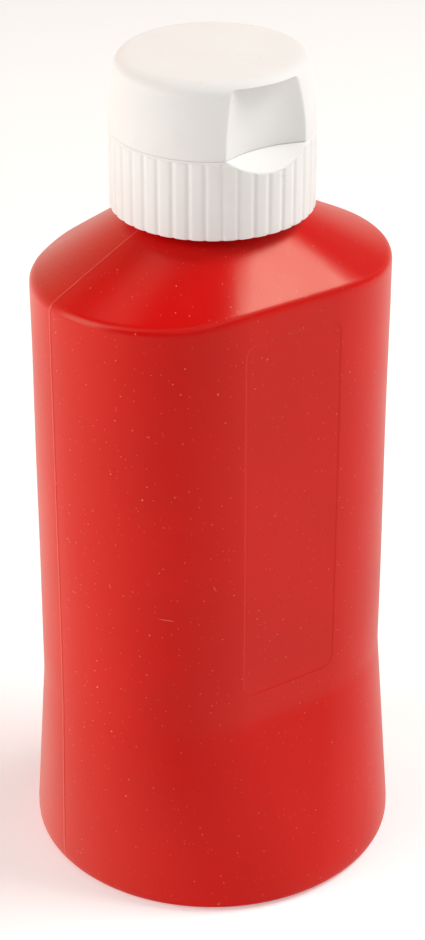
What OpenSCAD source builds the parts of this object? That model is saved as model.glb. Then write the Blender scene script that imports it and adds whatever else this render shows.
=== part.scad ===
// Squeeze bottle for ready-mixed paint, with a flip-top screw closure.
// Millimetres, +Z up. The origin is the centre of the base, on the surface that it stands on.
// -Y is the front, with the thumb notch and one label panel. The lid's hinge is at +Y.

/* [Bottle] */
// Diameter of the round base
base_d = 64; // [63.5:0.5:68]
// Body length over the two round ends
body_l = 62.4; // [61:0.2:63]
// Body depth over the two flat faces
body_w = 46; // [44:0.5:48]
// Height of the crease where the flat faces flare out to the base
crease_z = 34.2; // [28:0.2:38]
// Height of the shoulder's edge at the round ends
edge_z = 109.2; // [106:0.2:109.4]
// Height of the shoulder's edge over the flat faces
flat_edge_z = 110.7; // [109.6:0.1:111.5]
// Wall thickness of the blown body
wall = 1.1; // [0.8:0.1:1.5]
// Depth of the hollow under the base
push_up = 2.2; // [1:0.1:3]
// Height of the paint inside
fill_z = 104; // [50:1:105]

/* [Label panel] */
// Width of the sunken label panel
panel_w = 18.6; // [10:0.2:19]
// Height of the panel's lower edge
panel_z0 = 39.5; // [39:0.5:60]
// Height of the panel's upper edge
panel_z1 = 105.5; // [80:0.5:107]
// Depth that the panel is sunk
panel_depth = 0.2; // [0.1:0.05:0.4]

/* [Neck and thread] */
// Outside diameter of the neck between its threads
neck_d = 25; // [24.6:0.1:25.2]
// Bore of the neck
bore_d = 21.6; // [20:0.1:22]
// Height of the neck's top face
neck_top_z = 130.3; // [130.2:0.1:130.5]
// Rise of the screw thread in one turn
pitch = 4.23; // [4:0.01:4.3]
// Depth of the neck's thread
thread_h = 1.2; // [0.8:0.05:1.25]
// Turns of each thread
thread_turns = 1.25; // [1:0.05:1.25]

/* [Closure] */
// Diameter over the ribs of the skirt
cap_d = 33.5; // [33.3:0.1:34.5]
// Height of the skirt's rim
rim_z = 120.2; // [120:0.1:120.5]
// Height of the seam between the closure's base and its lid
seam_z = 133.4; // [133.2:0.1:134]
// Ribs around the skirt
ribs = 40; // [30:1:48]
// Height of each rib above the skirt
rib_h = 0.3; // [0.2:0.05:0.45]
// Width of each rib's flat crest
rib_w = 1.4; // [0.8:0.1:1.6]
// Diameter of the paint outlet
outlet_d = 6.4; // [6.2:0.1:6.6]
// Thickness of the sealing ring
seal_t = 1; // [0.6:0.1:1]

/* [Lid] */
// Height of the lid's flat top
top_z = 145.6; // [143:0.2:148]
// Diameter of the lid just under its top corner
lid_top_d = 31.4; // [30.5:0.1:32.5]
// Radius of the lid's top corner
lid_corner = 2.4; // [1.8:0.1:3]
// Wall thickness of the lid
lid_wall = 1.3; // [1:0.1:1.5]
// Width of the thumb notch at the seam
notch_w = 15.2; // [12:0.2:16]
// Depth of the notch behind the lid's outside, at the seam
notch_depth = 3.5; // [2.8:0.1:4]
// Thickness of the lid's top over the notch
notch_roof = 1.2; // [1:0.1:2]

/* [Hinge] */
// Width of the hinge pads and of the bar between them
hinge_w = 11; // [8:0.5:12]
// Radius of the hinge bar, which stands for a thin flexing web
hinge_r = 0.4; // [0.3:0.05:0.45]

/* [Hidden] */
$fn = 96;
big = 200;

bottle_red = [0.80, 0.09, 0.08];
paint_red = [0.62, 0.03, 0.04];
seal_grey = [0.85, 0.86, 0.84];
cap_white = [0.95, 0.94, 0.92];

base_r = base_d / 2;
flat_y = body_w / 2;                  // from the middle to a flat face
end_r = flat_y;                       // radius of each round end, tangent to the flats
end_x = body_l / 2 - end_r;           // centre of each round end
neck_r = neck_d / 2;
shoulder_slope = 0.545;               // rise over run at the round ends
facet_slope = 0.8875;                 // rise over run above the flat faces
base_fillet = 2;
flare_z = 3;                          // height where the flare starts
ring_r = 25;                          // inner edge of the ring that the bottle stands on
floor_t = 1.5;
panel_corner = 2.3;
paint_gap = 0.1;                      // keeps the paint's solid off the bottle's inside

cap_r = cap_d / 2;
skirt_r = cap_r - rib_h;              // bottom of the grooves between the ribs
skirt_bore_r = neck_r + thread_h + 0.4;
band_h = 0.4;                         // plain band above the ribs
neck_thread_z = 123.6;                // middle of the neck's thread where it starts
cap_thread_h = skirt_bore_r - neck_r - 0.35;
deck_under_z = neck_top_z + seal_t;
spout_r = outlet_d / 2 + 1.2;
spout_z = seam_z + 3.1;

lid_r = cap_r - 0.1;
lid_z = seam_z + 0.05;                // the lid hangs this far above the closure's base
lid_roof = 1.5;
collar_r = spout_r + 0.25;            // inside of the collar that closes round the spout
collar_t = 0.8;
collar_z = spout_z - 1;
foot_y = notch_depth - lid_r;         // middle of the notch's back wall
notch_sag = sqrt(pow(lid_r, 2) - pow(notch_w / 2, 2)) + foot_y;
notch_r = (pow(notch_w / 2, 2) + pow(notch_sag, 2)) / (2 * notch_sag);
ledge_drop = 2.9;                     // how far the thumb ledge falls below the seam
ledge_angle = atan(ledge_drop / (cap_r + foot_y));
ledge_sag = notch_sag * sin(ledge_angle);
ledge_r = (pow(notch_w / 2, 2) + pow(ledge_sag, 2)) / (2 * ledge_sag);

hinge_y = cap_r + 0.15;               // the hinge axis lies in the pads' outer face
pad_in_y = cap_r - 1.35;
pad_h = 3.6;
hinge_gap = 0.03;                     // between the bar and the lid's pad

// Points of an arc about (cx, cz), from angle a0 to a1
function arc(cx, cz, r, a0, a1, n = 8) = [
    for (i = [0:n]) let (a = a0 + (a1 - a0) * i / n) [cx + r * cos(a), cz + r * sin(a)]
];

// Extrudes a front-to-back outline along X, centred
module along_x(width) {
    rotate([90, 0, 90])
        linear_extrude(width, center = true)
            children();
}

// ---- bottle ----

// The body's outline above the crease: two round ends joined by flats
module round_ended(inset) {
    for (x = [-end_x, end_x])
        translate([x, 0])
            circle(r = end_r - inset);
    square([2 * end_x, 2 * (flat_y - inset)], center = true);
}

// Upright body with its sloping shoulder, every face moved in by inset
module trunk(inset) {
    foot_z = flare_z + 2;             // hidden inside the flare
    cone_top = edge_z + body_l / 2 * shoulder_slope - inset * sqrt(1 + pow(shoulder_slope, 2));
    facet_top = flat_edge_z + flat_y * facet_slope - inset * sqrt(1 + pow(facet_slope, 2));
    wide = body_l / 2 + 5;
    intersection() {
        translate([0, 0, foot_z])
            linear_extrude(big)
                round_ended(inset);
        rotate_extrude()
            polygon([[0, 0], [wide, 0], [wide, cone_top - wide * shoulder_slope], [0, cone_top]]);
        along_x(big)
            polygon([[-wide, 0], [wide, 0], [wide, facet_top - wide * facet_slope], [0, facet_top],
                     [-wide, facet_top - wide * facet_slope]]);
    }
}

// Foot of the body: straight lines run from the creased outline down to the round base
module flare(inset, floor_z) {
    over = 2.5;                       // the foot runs on inside the trunk
    run = crease_z - flare_z;
    slope_in = inset * sqrt(1 + pow((base_r - flat_y) / run, 2));
    top_x = end_x * (run + over) / run;
    top_r = end_r - (base_r - end_r) * over / run - slope_in;
    outer_r = base_r - inset;
    fillet = base_fillet - inset * 0.9;
    $fn = 64;
    hull() {
        rotate_extrude()
            polygon(concat(
                [[0, floor_z]],
                arc(outer_r - fillet, floor_z + fillet, fillet, -90, 0, 5),
                [[outer_r, flare_z], [0, flare_z]]
            ));
        for (x = [-top_x, top_x])
            translate([x, 0, crease_z + over - 1])
                cylinder(r = top_r, h = 1);
    }
}

// Shallow dome that lifts the middle of the floor
module push_up_dome(lift) {
    dome_r = (ring_r * ring_r + push_up * push_up) / (2 * push_up);
    translate([0, 0, push_up - dome_r + lift])
        rotate_extrude()
            polygon(concat([[0, 0]], arc(0, 0, dome_r, asin(1 - 2 * push_up / dome_r), 90, 10)));
}

// Rounded rectangle that is pressed into a flat face
module label_panel() {
    x = panel_w / 2 - panel_corner;
    z0 = panel_z0 + panel_corner;
    z1 = panel_z1 - panel_corner;
    translate([0, -flat_y + panel_depth, 0])
        rotate([90, 0, 0])
            linear_extrude(3) {
                for (cx = [-x, x], cz = [z0, z1])
                    translate([cx, cz])
                        circle(r = panel_corner, $fn = 32);
                translate([-x, panel_z0])
                    square([2 * x, panel_z1 - panel_z0]);
                translate([-panel_w / 2, z0])
                    square([panel_w, z1 - z0]);
            }
}

// Ridge that climbs a wall as a right-hand screw, fading in and out at its ends
module screw_ridge(root_r, crest_r, z0) {
    sunk = 0.3;
    way = sign(crest_r - root_r);
    steps = round(40 * thread_turns);
    fade = 5;
    rings = [
        for (i = [0:steps])
            let (
                a = 360 * thread_turns * i / steps,
                full = min(1, (i + 0.3) / fade, (steps - i + 0.3) / fade),
                r0 = root_r - way * sunk,
                r1 = root_r + (crest_r - root_r) * full,
                z = z0 + pitch * a / 360
            )
            for (p = [[r0, -1], [r1, -0.45], [r1, 0.45], [r0, 1]])
                [p[0] * cos(a), p[0] * sin(a), z + way * p[1]]
    ];
    sides = [
        for (i = [0:steps - 1], k = [0:3])
            let (a = 4 * i + k, b = 4 * i + (k + 1) % 4)
            for (f = [[a, b, b + 4], [a, b + 4, a + 4]])
                f
    ];
    ends = [[3, 2, 1, 0], [4 * steps, 4 * steps + 1, 4 * steps + 2, 4 * steps + 3]];
    polyhedron(rings, concat(sides, ends));
}

module cavity(inset, floor_z) {
    difference() {
        union() {
            trunk(inset);
            flare(inset, floor_z);
        }
        push_up_dome(floor_t);
    }
}

module bottle() {
    color(bottle_red) {
        difference() {
            union() {
                trunk(0);
                flare(0, 0);
                translate([0, 0, edge_z])
                    cylinder(r = neck_r, h = neck_top_z - edge_z);
            }
            cavity(wall, floor_t);
            translate([0, 0, edge_z - 1])
                cylinder(d = bore_d, h = big);
            push_up_dome(0);
            label_panel();
            rotate([0, 0, 180])
                label_panel();
        }
        screw_ridge(neck_r, neck_r + thread_h, neck_thread_z);
    }
}

module paint_fill() {
    color(paint_red)
        intersection() {
            cavity(wall + paint_gap, floor_t + paint_gap);
            cylinder(r = base_r, h = fill_z);
        }
}

// ---- closure ----

// Ring that seals the closure on the neck
module seal_ring() {
    color(seal_grey)
        translate([0, 0, neck_top_z])
            difference() {
                cylinder(r = neck_r + thread_h * 0.6, h = seal_t);
                translate([0, 0, -1])
                    cylinder(r = spout_r, h = seal_t + 2);
            }
}

module skirt_ribs() {
    for (i = [0:ribs - 1])
        rotate([0, 0, 360 / ribs * i])
            translate([0, 0, rim_z])
                linear_extrude(seam_z - band_h - rim_z)
                    polygon([
                        [skirt_r - 0.5, -rib_w / 2 - 0.45],
                        [cap_r, -rib_w / 2],
                        [cap_r, rib_w / 2],
                        [skirt_r - 0.5, rib_w / 2 + 0.45]
                    ]);
}

// Scoop in the skirt's top edge, below the notch
module thumb_ledge() {
    translate([0, foot_y, seam_z])
        rotate([ledge_angle, 0, 0])
            translate([0, 1, ledge_r])
                rotate([90, 0, 0])
                    cylinder(r = ledge_r, h = 20);
}

// Pad on the outside of the back wall, from z0 to z1
module hinge_pad(z0, z1) {
    translate([-hinge_w / 2, pad_in_y, z0])
        cube([hinge_w, hinge_y - pad_in_y, z1 - z0]);
}

// Room that both halves leave around the hinge bar
module hinge_room(z0, z1) {
    translate([-hinge_w / 2 - 0.3, hinge_y - 0.9, z0])
        cube([hinge_w + 0.6, 3, z1 - z0]);
}

module closure_base() {
    color(cap_white) {
        difference() {
            union() {
                translate([0, 0, rim_z])
                    cylinder(r = skirt_r, h = seam_z - rim_z);
                translate([0, 0, seam_z - band_h])
                    cylinder(r = lid_r, h = band_h);
                skirt_ribs();
                hinge_pad(seam_z - pad_h, seam_z - hinge_r);
                translate([0, 0, seam_z - 1])
                    cylinder(r = spout_r, h = spout_z - seam_z + 1);
            }
            translate([0, 0, rim_z - 1])
                cylinder(r = skirt_bore_r, h = deck_under_z - rim_z + 1);
            translate([0, 0, rim_z])
                cylinder(d = outlet_d, h = big);
            thumb_ledge();
            hinge_room(seam_z - hinge_r, seam_z + 1);
        }
        screw_ridge(skirt_bore_r, skirt_bore_r - cap_thread_h, neck_thread_z - pitch / 2);
    }
}

// Turned outline of the lid, every face moved in by inset
module lid_form(inset, roof) {
    rise = top_z - lid_corner - lid_z;
    draw_in = lid_r - lid_top_d / 2;
    side_r = (rise * rise + draw_in * draw_in) / (2 * draw_in);
    top_a = asin(rise / (side_r - lid_corner));
    corner_x = lid_r - side_r + (side_r - lid_corner) * cos(top_a);
    corner = max(lid_corner - inset, 0.5);
    rotate_extrude()
        polygon(concat(
            [[0, lid_z - inset]],
            arc(lid_r - side_r, lid_z, side_r - inset, inset > 0 ? -2 : 0, top_a - 0.5, 8),
            arc(corner_x + lid_corner - inset - corner, top_z - roof - corner, corner, top_a, 90, 8),
            [[0, top_z - roof]]
        ));
}

// Everything in front of the notch's back wall, which is moved back by grow
module notch_cut(grow) {
    translate([0, foot_y - notch_r, lid_z - 1])
        cylinder(r = notch_r + grow, h = top_z - notch_roof - lid_z + 1);
}

// Ring under the lid's top that closes round the spout
module seal_collar() {
    translate([0, 0, collar_z])
        difference() {
            cylinder(r = collar_r + collar_t, h = top_z - lid_roof / 2 - collar_z);
            translate([0, 0, -1])
                cylinder(r = collar_r, h = top_z - lid_roof - collar_z + 1);
        }
}

module closure_lid() {
    color(cap_white) {
        difference() {
            union() {
                lid_form(0, 0);
                hinge_pad(seam_z + hinge_r, seam_z + pad_h);
            }
            difference() {
                lid_form(lid_wall, lid_roof);
                notch_cut(lid_wall);
            }
            notch_cut(0);
            hinge_room(seam_z - 1, seam_z + hinge_r + hinge_gap);
        }
        seal_collar();
    }
}

// Bar on the hinge axis, standing on the closure base's pad
module hinge_web() {
    color(cap_white) {
        translate([0, hinge_y, seam_z])
            rotate([0, 90, 0])
                cylinder(r = hinge_r, h = hinge_w, center = true);
        translate([-hinge_w / 2, hinge_y - hinge_r, seam_z - hinge_r])
            cube([hinge_w, hinge_r, hinge_r]);
    }
}

bottle();
paint_fill();
seal_ring();
closure_base();
closure_lid();
hinge_web();
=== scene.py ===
"""Squeeze bottle of ready-mixed paint with a flip-top screw closure: meshes, materials, light and camera.

Lengths are in millimetres until a mesh is made. Angles round the axis are in degrees from +X, so the front
is at -90.
"""

from math import atan2, cos, degrees, radians, sin, sqrt

import bpy
import numpy as np
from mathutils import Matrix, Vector


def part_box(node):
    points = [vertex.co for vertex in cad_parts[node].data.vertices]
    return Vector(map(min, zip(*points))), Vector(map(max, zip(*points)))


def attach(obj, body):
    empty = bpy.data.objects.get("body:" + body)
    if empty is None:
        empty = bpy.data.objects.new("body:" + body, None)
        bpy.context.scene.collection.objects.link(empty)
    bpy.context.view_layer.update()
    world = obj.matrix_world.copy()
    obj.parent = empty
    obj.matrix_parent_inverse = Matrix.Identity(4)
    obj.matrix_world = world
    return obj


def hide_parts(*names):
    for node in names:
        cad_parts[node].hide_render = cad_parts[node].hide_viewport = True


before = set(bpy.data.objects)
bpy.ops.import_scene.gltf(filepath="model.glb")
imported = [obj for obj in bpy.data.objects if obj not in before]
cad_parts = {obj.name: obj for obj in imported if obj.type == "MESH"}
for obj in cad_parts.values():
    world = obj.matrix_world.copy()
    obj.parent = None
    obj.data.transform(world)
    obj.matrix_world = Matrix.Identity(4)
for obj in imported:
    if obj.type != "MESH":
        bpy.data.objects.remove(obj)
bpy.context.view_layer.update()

MM = 0.001


def cad_box(node):
    """Lowest and highest corner of a CAD node in millimetres."""
    low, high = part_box(node)
    return np.array(low) / MM, np.array(high) / MM


_, bottle_high = cad_box("bottle")
_, paint_high = cad_box("paint_fill")
seal_low, seal_high = cad_box("seal_ring")
base_low, base_high = cad_box("closure_base")
lid_low, lid_high = cad_box("closure_lid")
web_low, web_high = cad_box("hinge_web")

# Bottle
BASE_R = bottle_high[0]
FLAT_Y = 23.0  # from the middle to a flat face, and the radius of the round ends
END_X = 8.2  # centre of each round end
CREASE_Z = 34.2
CREASE_SOFT = 0.45
FLARE_Z = 3.0
FILLET = 2.0
RING_R = 25.0  # inner edge of the ring that the bottle stands on
PUSH_UP = 2.2
END_RIDGE_Z = 109.7
FLAT_RIDGE_Z = 110.7
NECK_FOOT_R, NECK_FOOT_Z = 13.0, 119.2
NECK_R = 12.5
NECK_TOP_Z = bottle_high[2]
BORE_R = 10.8
WALL = 1.1
FLOOR_T = WALL * 1.35  # the floor is a little thicker than the wall
PANEL_X, PANEL_Z0, PANEL_Z1, PANEL_CORNER, PANEL_DEPTH = 9.3, 39.5, 105.5, 2.3, 0.08
PITCH, THREAD_H, THREAD_Z = 4.23, 1.2, 123.6

# Closure
CAP_R = 16.75
RIB_COUNT, RIB_H, RIB_PHASE, RIB_WALL = 40, 0.23, 2.0, 0.24
RIM_Z = base_low[2]
SEAM_Z = 133.4
SKIRT_BORE_R = 14.1
DECK_UNDER_Z = seal_high[2]
OUTLET_R = 3.2
SPOUT_R, SPOUT_Z = 4.4, base_high[2]
BAND_R = 16.65

# Lid
LID_R, LID_Z = 16.65, lid_low[2]
LID_TOP_R, LID_TOP_Z, LID_CORNER = 15.7, lid_high[2], 2.4
LID_WALL, LID_ROOF, LID_INNER_CORNER = 1.3, 1.5, 1.2
NOTCH_HALF, NOTCH_Y, NOTCH_R, NOTCH_TOP_Z = 7.6, -13.15, 18.2, lid_high[2] - 1.2
NOTCH_SOFT = 0.16  # rounding of the edge between the notch and the lid's side
LEDGE_SLOPE = 0.78
COLLAR_R, COLLAR_T, COLLAR_Z = SPOUT_R + 0.25, 0.8, SPOUT_Z - 1
GATE_X, GATE_Y, GATE_R = 2.4, -6.3, 1.9

# Hinge
HINGE_Y = base_high[1]
HINGE_HALF = (web_high[0] - web_low[0]) / 2
HINGE_RECESS = 0.9  # how far the faces beside the web lie in front of the hinge axis
PAD_H = 3.6


# ---------------------------------------------------------------- shapes


def smooth_step(t):
    t = np.clip(t, 0, 1)
    return t * t * (3 - 2 * t)


def soft_min(a, b, size):
    """The lower of a and b, with the corner between them rounded off."""
    return (a + b - np.sqrt((a - b) ** 2 + size * size)) / 2


def marched(start, end, step, fine=()):
    """Numbers from start to end, a step apart, or closer near each fine place: (place, reach, step there)."""
    out = [start]
    while out[-1] < end - step * 0.01:
        here = out[-1]
        gap = min([step] + [s for place, reach, s in fine if abs(here - place) < reach + step])
        out.append(min(here + gap, end))
    return np.array(out)


def spread(a, b, count):
    """Pairs that run evenly from point a to point b, without a itself."""
    return [a + (b - a) * (i + 1) / count for i in range(count)]


class Turned:
    """Rows of points round the axis. Each row has a radius and a height at every angle."""

    def __init__(self, angles):
        self.degrees = np.asarray(angles, float)
        self.angles = np.radians(self.degrees)
        self.cos, self.sin = np.cos(self.angles), np.sin(self.angles)
        self.rows = []

    def ring(self, r, z):
        """A radius and a height at every angle, from numbers or arrays."""
        return np.stack([r + 0 * self.angles, z + 0 * self.angles])

    def row(self, r, z):
        self.rows.append(self.ring(r, z))

    def to(self, r, z, count):
        """Straight on to a new row, in a number of steps."""
        self.rows += spread(self.rows[-1], self.ring(r, z), count)

    def bend(self, corner, after, count):
        """A soft corner from the last row round a corner point to the row after it."""
        start, middle, end = self.rows[-1], self.ring(*corner), self.ring(*after)
        for t in np.linspace(0, 1, count + 1)[1:]:
            self.rows.append((1 - t) ** 2 * start + 2 * t * (1 - t) * middle + t * t * end)

    def build(self, name, around=False):
        """A closed mesh through the rows. It joins its last row to its first, or ends in a point at both."""
        rows = np.array(self.rows)
        count, columns = len(rows), len(self.angles)
        points = np.stack([rows[:, 0] * self.cos, rows[:, 0] * self.sin, rows[:, 1]], 2).reshape(-1, 3)
        index = np.arange(count * columns).reshape(count, columns)
        lower = index if around else index[:-1]
        upper = np.roll(index, -1, 0) if around else index[1:]
        quads = np.stack([lower, np.roll(lower, -1, 1), np.roll(upper, -1, 1), upper], 2).reshape(-1, 4)
        faces = quads.tolist()
        if not around:
            first, last = len(points), len(points) + 1
            tips = [[0, 0, rows[0, 1].mean()], [0, 0, rows[-1, 1].mean()]]
            points = np.vstack([points, tips])
            faces += [[first, b, a] for a, b in zip(index[0], np.roll(index[0], -1))]
            faces += [[last, a, b] for a, b in zip(index[-1], np.roll(index[-1], -1))]
        return mesh_object(name, points, faces)


def mesh_object(name, points, faces):
    mesh = bpy.data.meshes.new(name)
    mesh.from_pydata((np.asarray(points) * MM).tolist(), [], faces)
    mesh.validate()
    mesh.shade_smooth()
    piece = bpy.data.objects.new(name, mesh)
    bpy.context.scene.collection.objects.link(piece)
    return piece


def finish_piece(piece, node, body, material):
    piece.data.materials.append(material)
    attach(piece, body)
    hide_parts(node)
    return piece


# ---------------------------------------------------------------- bottle


def outline(turned, centre_x, radius):
    """Distance from the axis to an outline of two round ends joined by flats."""
    s, c = np.abs(turned.sin), np.abs(turned.cos)
    flat = radius / np.maximum(s, 1e-9)
    end = centre_x * c + np.sqrt(np.maximum(radius**2 - (centre_x * s) ** 2, 0))
    return np.where(radius * c <= centre_x * s, flat, end)


def body_radius(turned, z):
    """The body's outside below the shoulder: upright above the crease, flaring to a circle below it."""
    below = CREASE_SOFT * np.log1p(np.exp((CREASE_Z - z) / CREASE_SOFT))
    t = min(below / (CREASE_Z - FLARE_Z), 1)
    return outline(turned, END_X * (1 - t), FLAT_Y + (BASE_R - FLAT_Y) * t)


def ridge_height(turned):
    """Height of the shoulder's edge, a little higher over the flats than at the ends."""
    x = np.abs(body_radius(turned, 80) * turned.cos)
    return END_RIDGE_Z + (FLAT_RIDGE_Z - END_RIDGE_Z) * smooth_step((22 - x) / 12)


def shoulder(turned, t):
    """Radius and height part-way up the shoulder, which runs in straight lines from its edge to the neck."""
    ridge = ridge_height(turned)
    r = outline(turned, END_X * (1 - t), FLAT_Y + (NECK_FOOT_R - FLAT_Y) * t)
    return r, ridge + (NECK_FOOT_Z - ridge) * t


def panel_dent(turned, r, z):
    """How far the label panel on each flat face is pressed in."""
    x, y = r * turned.cos, r * turned.sin
    dx = np.abs(x) - (PANEL_X - PANEL_CORNER)
    dz = abs(z - (PANEL_Z0 + PANEL_Z1) / 2) - ((PANEL_Z1 - PANEL_Z0) / 2 - PANEL_CORNER)
    outside = np.sqrt(np.maximum(dx, 0) ** 2 + max(dz, 0) ** 2) + np.minimum(np.maximum(dx, dz), 0)
    edge = outside - PANEL_CORNER
    return np.where(np.abs(y) > FLAT_Y * 0.8, PANEL_DEPTH * smooth_step(0.5 - edge / 0.3), 0)


def parting_line(turned, r):
    """The raised line that the mould's two halves leave on the round ends."""
    return 0.09 * np.exp(-((r * turned.sin / 0.18) ** 2))


def wall_waves(turned, z):
    """Slow unevenness of a blown wall."""
    a = turned.angles
    wave = np.sin(2 * a + z / 17 + 0.7) + 0.7 * np.sin(3 * a - z / 11) + 0.5 * np.sin(5 * a + z / 7.3 + 2)
    return 0.05 * wave * smooth_step((z - CREASE_Z) / 15) * smooth_step((108 - z) / 12)


def thread_height(turned, z, start_z, turns=1.25):
    """Share of the full thread at a height: a right-hand ridge that fades in and out at its ends."""
    height = np.zeros(len(turned.angles))
    for lap in (0, 1):
        climbed = (turned.degrees % 360) / 360 + lap
        near = np.abs(z - (start_z + PITCH * climbed))
        fade = smooth_step(climbed / 0.1) * smooth_step((turns - climbed) / 0.1)
        height = np.maximum(height, fade * smooth_step((1.05 - near) / 0.7))
    return height


def bottle_angles():
    edge = degrees(atan2(PANEL_X, FLAT_Y))
    fine = [(place, 0.7, 0.15) for place in (0, 180, 360)]
    fine += [(face + side * edge, 0.9, 0.15) for face in (90, 270) for side in (-1, 1)]
    fine += [(face + side * (edge - 3), 2.5, 0.4) for face in (90, 270) for side in (-1, 1)]
    return marched(0, 360, 1.1, fine)[:-1]


def bottle_heights():
    """Heights of the rows up the body, closer together at the crease and the panel's ends."""
    fine = [(CREASE_Z, 2.4, 0.3)]
    for z, side in ((PANEL_Z0, 1), (PANEL_Z1, -1)):
        fine += [(z, 0.2, 0.08), (z + side * 1.2, 1.2, 0.22)]
    return marched(FLARE_Z + 0.2, END_RIDGE_Z - 1.1, 2.0, fine)


def add_outside(turned):
    for r in np.linspace(2, RING_R - 0.6, 16):
        pinch = 0.35 * np.exp(-((r * turned.sin / 0.5) ** 2)) * smooth_step((21 - r) / 2)
        turned.row(r, PUSH_UP * (1 - (r / RING_R) ** 2) - pinch)
    turned.bend((RING_R, 0), (RING_R + 1, 0), 4)
    turned.to(BASE_R - FILLET, 0, 3)
    for a in np.linspace(10, 90, 9):
        turned.row(BASE_R - FILLET * (1 - sin(radians(a))), FILLET * (1 - cos(radians(a))))
    for z in bottle_heights():
        r = body_radius(turned, z)
        r = r - panel_dent(turned, r, z) + parting_line(turned, r) + wall_waves(turned, z)
        turned.row(np.minimum(r, BASE_R), z)
    first = shoulder(turned, 0.06)
    turned.bend((body_radius(turned, 80) + parting_line(turned, 31), ridge_height(turned)), first, 7)
    for t in np.linspace(0.06, 0.94, 24)[1:]:
        r, z = shoulder(turned, t)
        turned.row(r + parting_line(turned, r) * 0.8, z)
    turned.bend(shoulder(turned, 1), (NECK_R, NECK_FOOT_Z + 1.2), 5)
    for z in np.arange(NECK_FOOT_Z + 1.6, NECK_TOP_Z - 0.4, 0.3):
        turned.row(NECK_R + THREAD_H * thread_height(turned, z, THREAD_Z), z)
    turned.bend((NECK_R, NECK_TOP_Z), (NECK_R - 0.4, NECK_TOP_Z), 3)


def add_inside(turned):
    """The inner wall from the top of the shoulder down to the middle of the floor."""
    for t in np.linspace(0.95, 0.05, 10):
        r, z = shoulder(turned, t)
        turned.row(r - WALL, z - WALL * 1.15)
    for z in np.linspace(END_RIDGE_Z - 3, FLARE_Z + 3, 26):
        turned.row(body_radius(turned, z) - WALL, z)
    turned.bend((BASE_R - WALL, FLOOR_T), (BASE_R - WALL - 3, FLOOR_T), 6)
    turned.to(RING_R, FLOOR_T, 2)
    for r in np.linspace(RING_R, 2, 9)[1:]:
        turned.row(r, FLOOR_T + PUSH_UP * (1 - (r / RING_R) ** 2))


def make_bottle(material):
    turned = Turned(bottle_angles())
    add_outside(turned)
    turned.to(BORE_R + 0.3, NECK_TOP_Z, 2)
    turned.bend((BORE_R, NECK_TOP_Z), (BORE_R, NECK_TOP_Z - 0.3), 3)
    turned.to(BORE_R, NECK_FOOT_Z - 0.2, 5)
    add_inside(turned)
    piece = turned.build("bottle_shell")
    return finish_piece(piece, "bottle", "bottle_body", material)


def make_paint(material):
    """The paint inside, with its surface drawn up a little where it wets the wall."""
    gap = 0.15
    wall, floor_z, top_z = WALL + gap, FLOOR_T + gap, paint_high[2]
    turned = Turned(np.arange(0, 360, 2.0))
    for r in np.linspace(2, RING_R, 9):
        turned.row(r, floor_z + PUSH_UP * (1 - (r / RING_R) ** 2))
    turned.to(BASE_R - wall - 3, floor_z, 2)
    turned.bend((BASE_R - wall, floor_z), (BASE_R - wall, FLARE_Z + 3), 6)
    for z in np.linspace(FLARE_Z + 5, top_z - 1, 30):
        turned.row(body_radius(turned, z) - wall, z)
    brim = body_radius(turned, 90) - wall
    turned.row(brim, top_z)
    climb = 0.9
    for inset in (0.15, 0.4, 0.8, 1.4, 2.2, 3.4):
        turned.row(brim - inset, top_z - climb * (1 - np.exp(-inset / climb)))
    for share in np.linspace(0.85, 0.08, 9):
        ripple = 0.08 * np.sin(3 * turned.angles + share * 7)
        turned.row(brim * share, top_z - climb + ripple * share)
    piece = turned.build("paint")
    return finish_piece(piece, "paint_fill", "bottle_body", material)


def make_seal(material):
    turned = Turned(np.arange(0, 360, 3.0))
    inner, outer = SPOUT_R, seal_high[0]
    low, high, soft = seal_low[2], seal_high[2], 0.2
    turned.row(inner + soft, low)
    turned.to(outer - soft, low, 6)
    turned.bend((outer, low), (outer, low + soft), 3)
    turned.to(outer, high - soft, 2)
    turned.bend((outer, high), (outer - soft, high), 3)
    turned.to(inner + soft, high, 6)
    turned.bend((inner, high), (inner, high - soft), 3)
    turned.to(inner, low + soft, 2)
    turned.bend((inner, low), (inner + soft * 0.9, low), 3)
    piece = turned.build("seal_ring_foam", around=True)
    return finish_piece(piece, "seal_ring", "seal", material)


# ---------------------------------------------------------------- closure


def notch_foot(x):
    """Y of the notch's back wall, an upright curve that is deepest in the middle."""
    return NOTCH_Y - NOTCH_R + np.sqrt(np.maximum(NOTCH_R**2 - x * x, 0))


def notch_radius(turned, grow=0.0):
    """Distance from the axis to the notch's back wall, which is moved back by grow."""
    centre, radius = NOTCH_R - NOTCH_Y, NOTCH_R + grow
    ahead = -turned.sin * centre
    inside = ahead**2 - centre**2 + radius**2
    return np.where((ahead > 0) & (inside > 0), ahead - np.sqrt(np.maximum(inside, 0)), 99.0)


def rib_shape(turned):
    """Height of the ribs at each angle, from 0 in the grooves to 1 along the crests."""
    turn = (turned.degrees - RIB_PHASE) * RIB_COUNT / 360
    from_groove = 0.5 - np.abs(turn - np.round(turn))
    return smooth_step(from_groove / RIB_WALL)


def top_of_base(turned, r):
    """Height of the closure base's top face: flat, and scooped down in front of the notch."""
    x, y = r * turned.cos, r * turned.sin
    ledge = SEAM_Z + LEDGE_SLOPE * (y - notch_foot(x))
    scooped = soft_min(ledge, SEAM_Z + 0 * ledge, 0.12)
    return np.where((y < 0) & (np.abs(x) < NOTCH_HALF + 0.5), scooped, SEAM_Z)


def hinge_side(turned, r, gap):
    """Share of the hinge pad at each angle, and the radius of a face that lies gap in front of the axis."""
    x = r * turned.cos
    share = smooth_step((HINGE_HALF + 0.1 - np.abs(x)) / 0.2) * (turned.sin > 0)
    return share, (HINGE_Y - gap) / np.maximum(turned.sin, 0.2)


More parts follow.
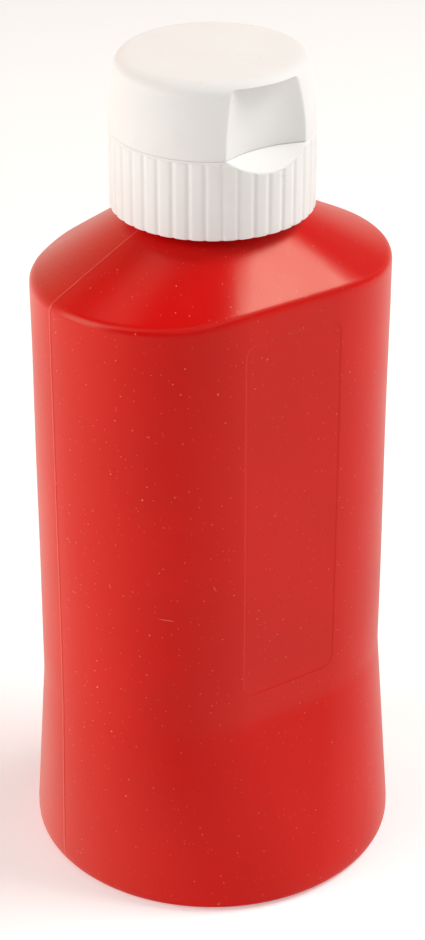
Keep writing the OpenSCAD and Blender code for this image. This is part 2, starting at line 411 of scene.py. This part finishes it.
def with_hinge(turned, r, at_r, pad_part, recess_part):
    """A row built out to the hinge pad, then cut back in the recess. Each part is 0 to 1 by height."""
    share, pad = hinge_side(turned, at_r, 0)
    _, recess = hinge_side(turned, at_r, HINGE_RECESS)
    r = r + (np.maximum(pad, r) - r) * (share * pad_part)
    return r + (np.minimum(recess, r) - r) * share * recess_part


def base_outside(turned, z):
    """The skirt's outside: ribs that stop just under the seam, and the hinge pad at the back."""
    ribbed = CAP_R - RIB_H * (1 - rib_shape(turned))
    ribs_end = SEAM_Z - 0.55
    r = ribbed + (BAND_R - ribbed) * smooth_step((z - ribs_end) / 0.2)
    pad_part = smooth_step((z - (SEAM_Z - PAD_H)) / 0.25)
    return with_hinge(turned, r, CAP_R, pad_part, smooth_step((z - ribs_end) / 0.15))


def make_closure_base(material):
    turned = Turned(np.arange(0, 360, 360 / RIB_COUNT / 13))
    turned.row(OUTLET_R, DECK_UNDER_Z)
    turned.to(SKIRT_BORE_R - 0.5, DECK_UNDER_Z, 6)
    turned.bend((SKIRT_BORE_R, DECK_UNDER_Z), (SKIRT_BORE_R, DECK_UNDER_Z - 0.5), 3)
    for z in np.arange(DECK_UNDER_Z - 0.9, RIM_Z + 0.6, -0.35):
        turned.row(SKIRT_BORE_R - THREAD_H * thread_height(turned, z, THREAD_Z - PITCH / 2), z)
    turned.bend((SKIRT_BORE_R, RIM_Z), (SKIRT_BORE_R + 0.4, RIM_Z), 3)
    rim_r = base_outside(turned, RIM_Z)
    turned.to(rim_r - 0.3, RIM_Z, 3)
    turned.bend((rim_r, RIM_Z), (rim_r, RIM_Z + 0.3), 4)
    edge_z = top_of_base(turned, BAND_R)
    fine = [(SEAM_Z - 0.4, 0.45, 0.1), (SEAM_Z - PAD_H, 0.3, 0.15)]
    heights = marched(RIM_Z + 0.8, SEAM_Z - 0.15, 1.0, fine)
    for i, z in enumerate(heights):
        row_z = np.minimum(z, edge_z - 0.15 - 0.012 * (len(heights) - i))
        turned.row(base_outside(turned, z), row_z)
    skirt_r = base_outside(turned, SEAM_Z)
    turned.bend((skirt_r, edge_z), (skirt_r - 0.15, top_of_base(turned, skirt_r - 0.15)), 4)
    for inset in marched(0.3, 4.6, 0.22):
        r = skirt_r - inset
        turned.row(r, top_of_base(turned, r))
    turned.to(SPOUT_R + 0.5, SEAM_Z, 6)
    turned.bend((SPOUT_R, SEAM_Z), (SPOUT_R, SEAM_Z + 0.5), 4)
    turned.to(SPOUT_R, SPOUT_Z - 0.4, 3)
    turned.bend((SPOUT_R, SPOUT_Z), (SPOUT_R - 0.4, SPOUT_Z), 4)
    turned.to(OUTLET_R + 0.4, SPOUT_Z, 2)
    turned.bend((OUTLET_R, SPOUT_Z), (OUTLET_R, SPOUT_Z - 0.4), 3)
    turned.to(OUTLET_R, DECK_UNDER_Z + 0.4, 5)
    piece = turned.build("closure_skirt", around=True)
    return finish_piece(piece, "closure_base", "closure", material)


RISE = LID_TOP_Z - LID_CORNER - LID_Z
SIDE_R = (RISE**2 + (LID_R - LID_TOP_R) ** 2) / (2 * (LID_R - LID_TOP_R))


def lid_side(z):
    """Radius of the lid's gently curved side."""
    return LID_R - SIDE_R + sqrt(SIDE_R**2 - (z - LID_Z) ** 2)


def lid_outside(turned, r, z):
    """One row of the lid's outside, built out by the hinge pad."""
    pad_part = smooth_step((SEAM_Z + PAD_H - z) / 0.25)
    recess_part = smooth_step((SEAM_Z + 0.6 - z) / 0.15)
    return with_hinge(turned, r + 0 * turned.angles, LID_R, pad_part, recess_part)


def lid_inside(turned, z):
    """Radius of the lid's inner wall, which runs round behind the notch."""
    return soft_min(lid_side(z) - LID_WALL, notch_radius(turned, LID_WALL), 0.3)


def corner_row(z):
    """Radius of the lid's top corner at a height."""
    return LID_TOP_R - LID_CORNER + sqrt(LID_CORNER**2 - (z - LID_TOP_Z + LID_CORNER) ** 2)


def add_notch_roof(turned):
    """Rows that run out from the notch's back wall to the lid's outside, under the lip over the notch."""
    low = 0.3
    outside = corner_row(NOTCH_TOP_Z)
    depth = np.maximum(outside - notch_radius(turned), 0)
    shares = (0.0, 0.015, 0.06, 0.15, 0.4, 0.7, 0.9, 0.97, 1.0)
    for i, share in enumerate(shares):
        z = NOTCH_TOP_Z - low * (1 - i / (len(shares) - 1)) ** 2
        turned.row(corner_row(z) - depth * (1 - share), z)


def gate_mark(turned, r):
    """Depth of the shallow round mark that moulding leaves on the lid's top."""
    x, y = r * turned.cos, r * turned.sin
    away = np.sqrt((x - GATE_X) ** 2 + (y - GATE_Y) ** 2)
    return 0.1 * smooth_step(0.5 - (away - GATE_R) / 0.3)


def make_closure_lid(material):
    edge = degrees(atan2(NOTCH_HALF, 15)) - 1.6
    fine = [(270 + side * edge, 3.2, 0.25) for side in (-1, 1)]
    fine += [(90 + side * degrees(atan2(HINGE_HALF, 15.7)), 0.5, 0.3) for side in (-1, 1)]
    turned = Turned(marched(0, 360, 1.0, fine)[:-1])
    roof_z = LID_TOP_Z - LID_ROOF
    turned.row(0.6, roof_z)
    turned.to(COLLAR_R - 0.5, roof_z, 4)
    turned.bend((COLLAR_R, roof_z), (COLLAR_R, roof_z - 0.5), 4)
    turned.to(COLLAR_R, COLLAR_Z + 0.3, 6)
    turned.bend((COLLAR_R, COLLAR_Z), (COLLAR_R + COLLAR_T / 2, COLLAR_Z), 4)
    turned.bend((COLLAR_R + COLLAR_T, COLLAR_Z), (COLLAR_R + COLLAR_T, COLLAR_Z + 0.3), 4)
    turned.to(COLLAR_R + COLLAR_T, roof_z - 0.5, 6)
    turned.bend((COLLAR_R + COLLAR_T, roof_z), (COLLAR_R + COLLAR_T + 0.5, roof_z), 4)
    inner_r = lid_inside(turned, roof_z - LID_INNER_CORNER)
    turned.to(inner_r - LID_INNER_CORNER, roof_z, 6)
    turned.bend((inner_r, roof_z), (inner_r, roof_z - LID_INNER_CORNER), 5)
    for z in np.linspace(roof_z - 2, LID_Z + 0.2, 12):
        turned.row(lid_inside(turned, z), z)
    wall_r = notch_radius(turned)
    low_r = soft_min(lid_outside(turned, LID_R, LID_Z), wall_r, NOTCH_SOFT)
    inner_low = np.minimum(turned.rows[-1][0] + 0.15, low_r - 0.3)
    turned.bend((turned.rows[-1][0], LID_Z), (inner_low, LID_Z), 3)
    turned.to(low_r - 0.05, LID_Z, 3)
    turned.bend((low_r, LID_Z), (low_r, LID_Z + 0.05), 3)
    fine = [(LID_Z + 0.5, 0.3, 0.12), (SEAM_Z + PAD_H, 0.3, 0.15)]
    for z in marched(LID_Z + 0.25, LID_TOP_Z - LID_CORNER, 0.8, fine):
        turned.row(soft_min(lid_outside(turned, lid_side(z), z), wall_r, NOTCH_SOFT), z)
    for z in np.linspace(LID_TOP_Z - LID_CORNER + 0.15, NOTCH_TOP_Z - 0.45, 4):
        turned.row(soft_min(corner_row(z) + 0 * wall_r, wall_r, NOTCH_SOFT), z)
    add_notch_roof(turned)
    lip_angle = degrees(np.arcsin(1 - (LID_TOP_Z - NOTCH_TOP_Z) / LID_CORNER))
    for a in np.linspace(lip_angle, 90, 16)[1:]:
        z = LID_TOP_Z - LID_CORNER * (1 - sin(radians(a)))
        turned.row(LID_TOP_R - LID_CORNER * (1 - cos(radians(a))), z)
    for r in marched(0.6, LID_TOP_R - LID_CORNER - 0.3, 0.9, [(GATE_R + 4, 3.0, 0.14)])[::-1]:
        turned.row(r, LID_TOP_Z - gate_mark(turned, r))
    piece = turned.build("flip_lid")
    return finish_piece(piece, "closure_lid", "lid", material)


def make_hinge_web(material):
    """The thin bar that the lid swings on, swept along X with rounded ends."""
    radius = (web_high[2] - web_low[2]) / 2
    centre = (web_low[2] + web_high[2]) / 2
    section = [(cos(radians(a)), sin(radians(a))) for a in range(0, 360, 20)]
    stations = [(-1.0, 0.55), (-0.985, 0.9), (-0.96, 1.0), (0.96, 1.0), (0.985, 0.9), (1.0, 0.55)]
    points, faces = [], []
    for share, size in stations:
        for y, z in section:
            block = 1.12 if y < 0 and z < 0 else 1.0
            reach = radius * size * block
            back = HINGE_Y - radius * 0.02 + y * reach * 0.97
            points.append((share * HINGE_HALF, back, centre + z * radius * size * 0.97))
    count = len(section)
    for i in range(len(stations) - 1):
        for j in range(count):
            k = (j + 1) % count
            faces.append([i * count + j, i * count + k, (i + 1) * count + k, (i + 1) * count + j])
    faces.append(list(range(count))[::-1])
    faces.append([(len(stations) - 1) * count + j for j in range(count)])
    piece = mesh_object("living_hinge", points, faces)
    return finish_piece(piece, "hinge_web", "closure", material)


# ---------------------------------------------------------------- materials


class Nodes:
    """A node tree, with short ways to add what this scene uses."""

    def __init__(self, tree):
        self.tree = tree

    def link(self, output, target):
        self.tree.links.new(output, target)

    def add(self, kind, inputs=None, **settings):
        node = self.tree.nodes.new(kind)
        for key, value in settings.items():
            setattr(node, key, value)
        for key, value in (inputs or {}).items():
            if isinstance(value, bpy.types.NodeSocket):
                self.link(value, node.inputs[key])
            else:
                node.inputs[key].default_value = value
        return node

    def ramp(self, value, low, high, to_low=0.0, to_high=1.0):
        inputs = {"Value": value, "From Min": low, "From Max": high, "To Min": to_low, "To Max": to_high}
        return self.add("ShaderNodeMapRange", inputs, clamp=True).outputs["Result"]

    def math(self, operation, a, b):
        return self.add("ShaderNodeMath", {0: a, 1: b}, operation=operation).outputs["Value"]

    def vector_math(self, operation, a, b):
        return self.add("ShaderNodeVectorMath", {0: a, 1: b}, operation=operation)


class Material(Nodes):
    """A new material and its node tree."""

    def __init__(self, name):
        self.material = bpy.data.materials.new(name)
        self.material.use_nodes = True
        super().__init__(self.material.node_tree)
        self.shader = self.tree.nodes["Principled BSDF"]
        self.place = self.tree.nodes.new("ShaderNodeTexCoord").outputs["Object"]

    def noise(self, scale, detail=3.0, stretch=None):
        place = self.place
        if stretch:
            place = self.add("ShaderNodeMapping", {"Vector": place, "Scale": stretch}).outputs["Vector"]
        inputs = {"Vector": place, "Scale": scale, "Detail": detail}
        return self.add("ShaderNodeTexNoise", inputs).outputs["Fac"]

    def mix(self, factor, a, b):
        node = self.add("ShaderNodeMix", data_type="RGBA")
        for socket, value in ((0, factor), (6, a), (7, b)):
            if isinstance(value, bpy.types.NodeSocket):
                self.link(value, node.inputs[socket])
            else:
                node.inputs[socket].default_value = value
        return node.outputs[2]

    def specks(self, scale, size, chance, place=None):
        """Small round specks: 1 inside each, 0 elsewhere. Only some of the cells have one."""
        place = place or self.place
        cells = self.add("ShaderNodeTexVoronoi", {"Vector": place, "Scale": scale}, feature="F1")
        inside = self.ramp(cells.outputs["Distance"], size * 0.5, size, 1.0, 0.0)
        split = self.add("ShaderNodeSeparateColor", {"Color": cells.outputs["Color"]})
        chosen = self.math("GREATER_THAN", split.outputs[0], 1 - chance)
        return self.math("MULTIPLY", inside, chosen)

    def scratches(self, scale, size, chance, turn):
        """Fine straight scratches: specks that are drawn out along a tilted line."""
        tilt = self.add("ShaderNodeMapping", {"Vector": self.place, "Rotation": turn}).outputs["Vector"]
        drawn = self.add("ShaderNodeMapping", {"Vector": tilt, "Scale": (1.0, 1.0, 0.045)}).outputs["Vector"]
        return self.specks(scale, size, chance, drawn)

    def parting_line(self):
        """1 along the mould's parting line, where the plane Y = 0 cuts the body, worn away in places. The
        body is painted lighter along it: partly wear, partly a painted highlight on the raised ridge.
        """
        split = self.add("ShaderNodeSeparateXYZ", {"Vector": self.place})
        near = self.ramp(self.math("ABSOLUTE", split.outputs["Y"], 0.0), 0.00008, 0.0002, 1.0, 0.0)
        worn = self.ramp(self.noise(180, 2.0), 0.35, 0.6, 0.35, 1.0)
        return self.math("MULTIPLY", near, worn)

    def bump(self, height, distance, strength=1.0, below=None):
        inputs = {"Height": height, "Distance": distance, "Strength": strength}
        if below is not None:
            inputs["Normal"] = below
        return self.add("ShaderNodeBump", inputs).outputs["Normal"]


def bottle_plastic():
    n = Material("red_squeeze_plastic")
    clouds = n.noise(28, 4.0)
    fine = n.noise(900, 3.0)
    streaks = n.noise(60, 3.0, stretch=(1.0, 1.0, 0.08))
    red = n.mix(n.ramp(clouds, 0.0, 1.0), (0.55, 0.0008, 0.001, 1), (0.76, 0.0028, 0.003, 1))
    red = n.mix(n.ramp(streaks, 0.1, 0.9, 0.0, 0.2), red, (0.70, 0.004, 0.0035, 1))
    dust = n.math("MAXIMUM", n.specks(260, 0.055, 0.7), n.math("MULTIPLY", n.specks(560, 0.085, 0.8), 0.8))
    dust = n.math("MAXIMUM", dust, n.math("MULTIPLY", n.specks(1000, 0.13, 0.5), 0.45))
    dust = n.math("MULTIPLY", dust, n.ramp(n.noise(34, 3.0), 0.3, 0.7, 0.45, 1.0))
    steep = n.scratches(420, 0.036, 0.5, (0.5, 0.3, 0.9))
    shallow = n.scratches(380, 0.036, 0.4, (1.3, 0.9, 0.2))
    marks = n.math("MAXIMUM", steep, shallow)
    parting_wear_and_highlight = n.parting_line()
    red = n.mix(n.math("MULTIPLY", marks, 0.35), red, (0.86, 0.42, 0.36, 1))
    # Painted lighter along the parting line: partly wear, partly a painted highlight where the raised ridge
    # catches light.
    red = n.mix(n.math("MULTIPLY", parting_wear_and_highlight, 0.22), red, (0.88, 0.30, 0.22, 1))
    red = n.mix(n.math("MULTIPLY", dust, 0.55), red, (0.90, 0.55, 0.45, 1))
    n.link(red, n.shader.inputs["Base Color"])
    rough = n.ramp(n.noise(45, 4.0), 0.0, 1.0, 0.23, 0.40)
    rough = n.math("ADD", rough, n.math("MULTIPLY", dust, 0.2))
    n.link(rough, n.shader.inputs["Roughness"])
    grain = n.bump(fine, 0.00003, 0.5)
    waves = n.bump(n.noise(120, 2.0), 0.00008, 0.6, grain)
    n.link(n.bump(dust, 0.00004, 0.5, waves), n.shader.inputs["Normal"])
    n.shader.inputs["Subsurface Weight"].default_value = 0.12
    n.shader.inputs["Subsurface Radius"].default_value = (1.0, 0.12, 0.06)
    n.shader.inputs["Subsurface Scale"].default_value = 0.0015
    n.shader.inputs["Specular IOR Level"].default_value = 0.4
    n.shader.inputs["Specular Tint"].default_value = (1.0, 0.9, 0.7, 1.0)
    return n.material


def closure_plastic():
    n = Material("white_closure_plastic")
    clouds = n.noise(70, 3.0)
    white = n.mix(n.ramp(clouds, 0.0, 1.0), (0.85, 0.842, 0.83, 1), (0.91, 0.903, 0.893, 1))
    grime = n.ramp(n.noise(160, 4.0), 0.62, 0.8, 0.0, 0.12)
    white = n.mix(grime, white, (0.70, 0.64, 0.56, 1))
    specks = n.specks(520, 0.16, 0.02)
    white = n.mix(n.math("MULTIPLY", specks, 0.18), white, (0.42, 0.38, 0.34, 1))
    n.link(white, n.shader.inputs["Base Color"])
    n.link(n.ramp(n.noise(60, 4.0), 0.0, 1.0, 0.54, 0.72), n.shader.inputs["Roughness"])
    grain = n.bump(n.noise(1500, 2.0), 0.00002, 0.5)
    n.link(n.bump(n.noise(200, 2.0), 0.00004, 0.4, grain), n.shader.inputs["Normal"])
    n.shader.inputs["Subsurface Weight"].default_value = 0.15
    n.shader.inputs["Subsurface Radius"].default_value = (1.0, 0.9, 0.8)
    n.shader.inputs["Subsurface Scale"].default_value = 0.0012
    n.shader.inputs["IOR"].default_value = 1.49
    n.shader.inputs["Specular IOR Level"].default_value = 0.4
    return n.material


def paint_material():
    n = Material("wet_red_paint")
    swirl = n.noise(40, 5.0)
    red = n.mix(n.ramp(swirl, 0.3, 0.7), (0.36, 0.006, 0.008, 1), (0.46, 0.012, 0.012, 1))
    n.link(red, n.shader.inputs["Base Color"])
    n.link(n.ramp(n.noise(90, 3.0), 0.3, 0.7, 0.12, 0.22), n.shader.inputs["Roughness"])
    n.link(n.bump(n.noise(150, 3.0), 0.0001, 0.5), n.shader.inputs["Normal"])
    return n.material


def seal_foam():
    n = Material("pale_seal_foam")
    cells = n.add("ShaderNodeTexVoronoi", {"Vector": n.place, "Scale": 1800.0}, feature="F1")
    pores = cells.outputs["Distance"]
    grey = n.mix(n.ramp(pores, 0.1, 0.6), (0.60, 0.61, 0.59, 1), (0.78, 0.79, 0.77, 1))
    n.link(grey, n.shader.inputs["Base Color"])
    n.link(n.ramp(pores, 0.1, 0.6, 0.95, 0.8), n.shader.inputs["Roughness"])
    n.link(n.bump(pores, 0.0001, 0.8), n.shader.inputs["Normal"])
    return n.material


# ---------------------------------------------------------------- studio

CAMERA_AZIMUTH, CAMERA_ELEVATION, CAMERA_AWAY, CAMERA_LENS = -34.5, 28.95, 0.4218, 94.06
CAMERA_TARGET = Vector((0, 0, 0.0703))
LIGHT_TARGET = Vector((0, 0, 0.08))
FLOOR_HALF = 4  # metres from the middle to each side


def make_floor():
    side = FLOOR_HALF
    corners = [(-side, -side, 0), (side, -side, 0), (side, side, 0), (-side, side, 0)]
    mesh = bpy.data.meshes.new("floor")
    mesh.from_pydata(corners, [], [(0, 1, 2, 3)])
    floor = bpy.data.objects.new("floor", mesh)
    bpy.context.scene.collection.objects.link(floor)
    n = Material("pale_floor")
    pale = n.mix(n.ramp(n.noise(3, 2.0), 0.3, 0.7), (0.90, 0.90, 0.895, 1), (0.92, 0.92, 0.915, 1))
    n.link(pale, n.shader.inputs["Base Color"])
    n.shader.inputs["Roughness"].default_value = 0.8
    n.shader.inputs["Specular IOR Level"].default_value = 0.1
    n.shader.inputs["Emission Color"].default_value = (0.92, 0.97, 1, 1)
    n.shader.inputs["Emission Strength"].default_value = 0.31
    floor.data.materials.append(n.material)
    floor.visible_glossy = False


def aim(thing, target):
    ahead = target - thing.location
    thing.rotation_euler = ahead.to_track_quat("-Z", "Y").to_euler()


def direction(azimuth, elevation):
    """Unit vector towards a place round the object. Azimuth 0 is in front, and positive towards +X."""
    a, e = radians(azimuth), radians(elevation)
    return Vector((sin(a) * cos(e), -cos(a) * cos(e), sin(e)))


def soft_box(name, azimuth, elevation, away, width, height, watts, colour):
    """A rectangular light that faces the bottle's middle. Sizes are in metres."""
    data = bpy.data.lights.new(name, "AREA")
    data.shape = "RECTANGLE"
    data.size, data.size_y = width, height
    data.energy = watts
    data.color = colour
    light = bpy.data.objects.new(name, data)
    bpy.context.scene.collection.objects.link(light)
    light.location = LIGHT_TARGET + direction(azimuth, elevation) * away
    aim(light, LIGHT_TARGET)


# Soft patches of the world: azimuth, lowest and highest Z of the direction, how narrow, colour.
# A fit to the photograph's colours picked these 7 places out of 16 and gave the strengths that the
# colours started from. All the colours were then changed.
PATCHES = [
    (-154, -0.10, 0.30, 2.0, (0.90, 0.80, 0.70)),
    (146, -0.10, 0.30, 2.0, (0.80, 0.70, 0.58)),
    (-124, -1.20, -0.10, 1.5, (1.50, 1.35, 1.12)),
    (146, -1.20, -0.10, 1.5, (1.00, 0.90, 0.80)),
    (56, -1.20, -0.10, 1.5, (0.95, 0.86, 0.80)),
    (-154, 0.30, 0.65, 2.0, (0.85, 0.66, 0.46)),
    (26, 0.30, 0.65, 2.0, (1.88, 1.83, 1.76)),
]
PATCH_EDGE = 0.12


def make_world():
    """Soft patches of pale light, most of them low down: the bottle mirrors a bright floor and a dim room."""
    world = bpy.data.worlds.new("studio")
    world.use_nodes = True
    n = Nodes(world.node_tree)
    way = n.add("ShaderNodeTexCoord").outputs["Generated"]
    height = n.add("ShaderNodeSeparateXYZ", {"Vector": way}).outputs["Z"]
    total = None
    for azimuth, low, high, narrow, colour in PATCHES:
        ahead = n.vector_math("DOT_PRODUCT", way, direction(azimuth, 0)).outputs["Value"]
        share = n.math("POWER", n.math("MAXIMUM", ahead, 0.0), narrow)
        share = n.math("MULTIPLY", share, n.ramp(height, low - PATCH_EDGE, low + PATCH_EDGE))
        share = n.math("MULTIPLY", share, n.ramp(height, high - PATCH_EDGE, high + PATCH_EDGE, 1.0, 0.0))
        patch = n.vector_math("MULTIPLY", share, colour).outputs["Vector"]
        total = n.vector_math("ADD", patch, total).outputs["Vector"] if total else patch
    n.link(total, n.tree.nodes["Background"].inputs["Color"])
    bpy.context.scene.world = world


def make_lights():
    pale = (1, 0.97, 0.94)
    soft_box("key_low", 60, 47, 0.8, 0.42, 0.26, 1.80, pale)
    soft_box("key_high", 63, 55, 0.8, 0.45, 0.30, 2.78, pale)
    soft_box("side_left", -108, 20, 0.8, 0.5, 0.6, 3.1, pale)
    soft_box("fill_front", -30, 55, 0.9, 0.5, 0.4, 0.40, pale)
    soft_box("fill_left", -80, 45, 0.9, 0.5, 0.4, 0.75, pale)
    soft_box("streak_behind", -158, 67, 0.9, 0.28, 0.25, 0.37, (1, 0.75, 0.70))
    soft_box("warm_behind", 180, 30, 1.0, 1.0, 0.5, 0.8, (1, 0.6, 0.42))


def make_camera():
    data = bpy.data.cameras.new("camera")
    data.sensor_width = 36
    data.lens = CAMERA_LENS
    data.clip_start, data.clip_end = 0.01, 10
    camera = bpy.data.objects.new("camera", data)
    bpy.context.scene.collection.objects.link(camera)
    camera.location = CAMERA_TARGET + direction(CAMERA_AZIMUTH, CAMERA_ELEVATION) * CAMERA_AWAY
    aim(camera, CAMERA_TARGET)
    bpy.context.scene.camera = camera


red = bottle_plastic()
white = closure_plastic()
make_bottle(red)
make_paint(paint_material())
make_seal(seal_foam())
make_closure_base(white)
make_closure_lid(white)
make_hinge_web(white)
make_floor()
make_world()
make_lights()
make_camera()
bpy.context.scene.view_settings.view_transform = "Standard"

bpy.context.view_layer.update()
